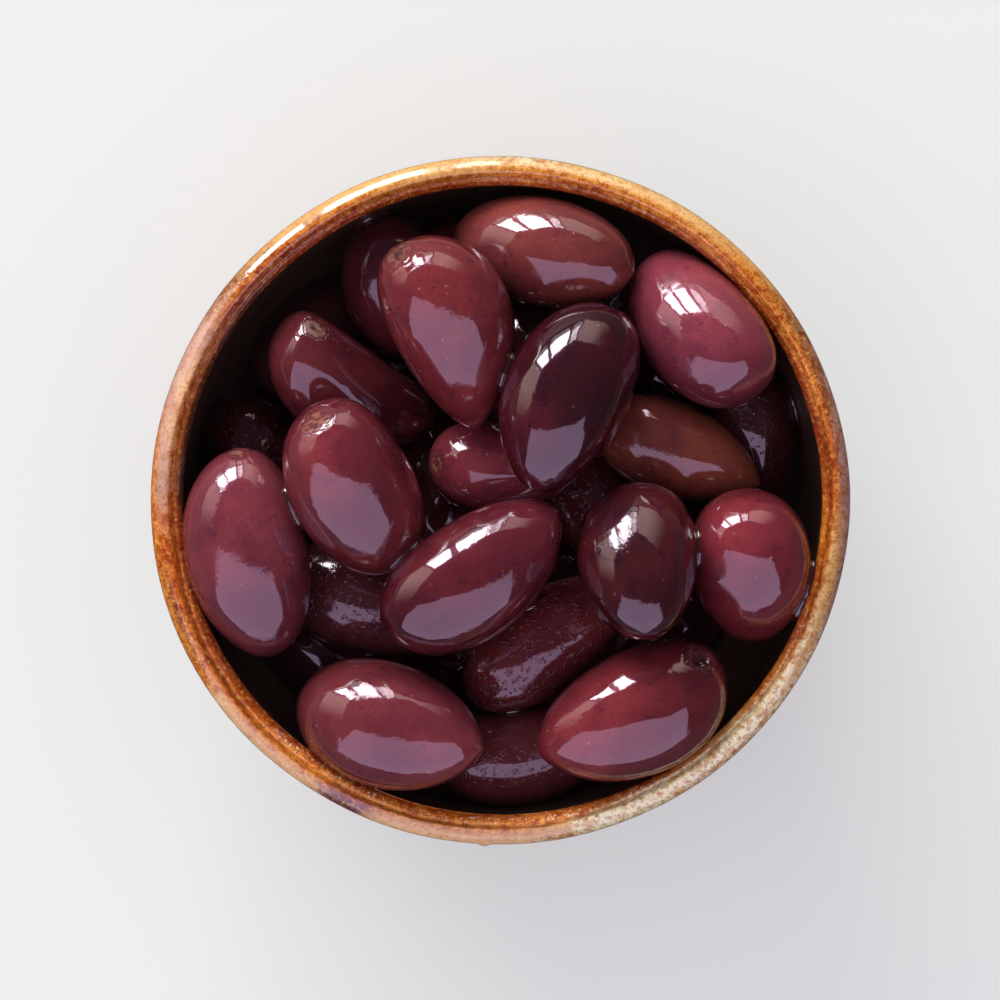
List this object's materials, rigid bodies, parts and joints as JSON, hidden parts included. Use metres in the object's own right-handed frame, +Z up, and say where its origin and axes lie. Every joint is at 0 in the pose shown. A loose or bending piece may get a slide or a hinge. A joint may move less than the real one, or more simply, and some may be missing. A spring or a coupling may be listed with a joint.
{
  "type": "dish of olives",
  "caption": "Small round glazed stoneware bowl heaped above its rim with glossy dark purple table olives, standing on a low foot ring.",
  "frame": {"origin": "centre of the bowl's foot, on the surface it stands on", "axes": "+Z up, out of the bowl's mouth; +X along the slightly longer width of the mouth, +Y across it"},
  "size_m": [0.098, 0.0964, 0.0644],
  "materials": {
    "stoneware_glaze": "gloss",
    "olive_skin": "wet gloss"
  },
  "bodies": {
    "root": {"bowl": "stoneware_glaze", "olive_heap": "olive_skin"}
  },
  "joints": []
}
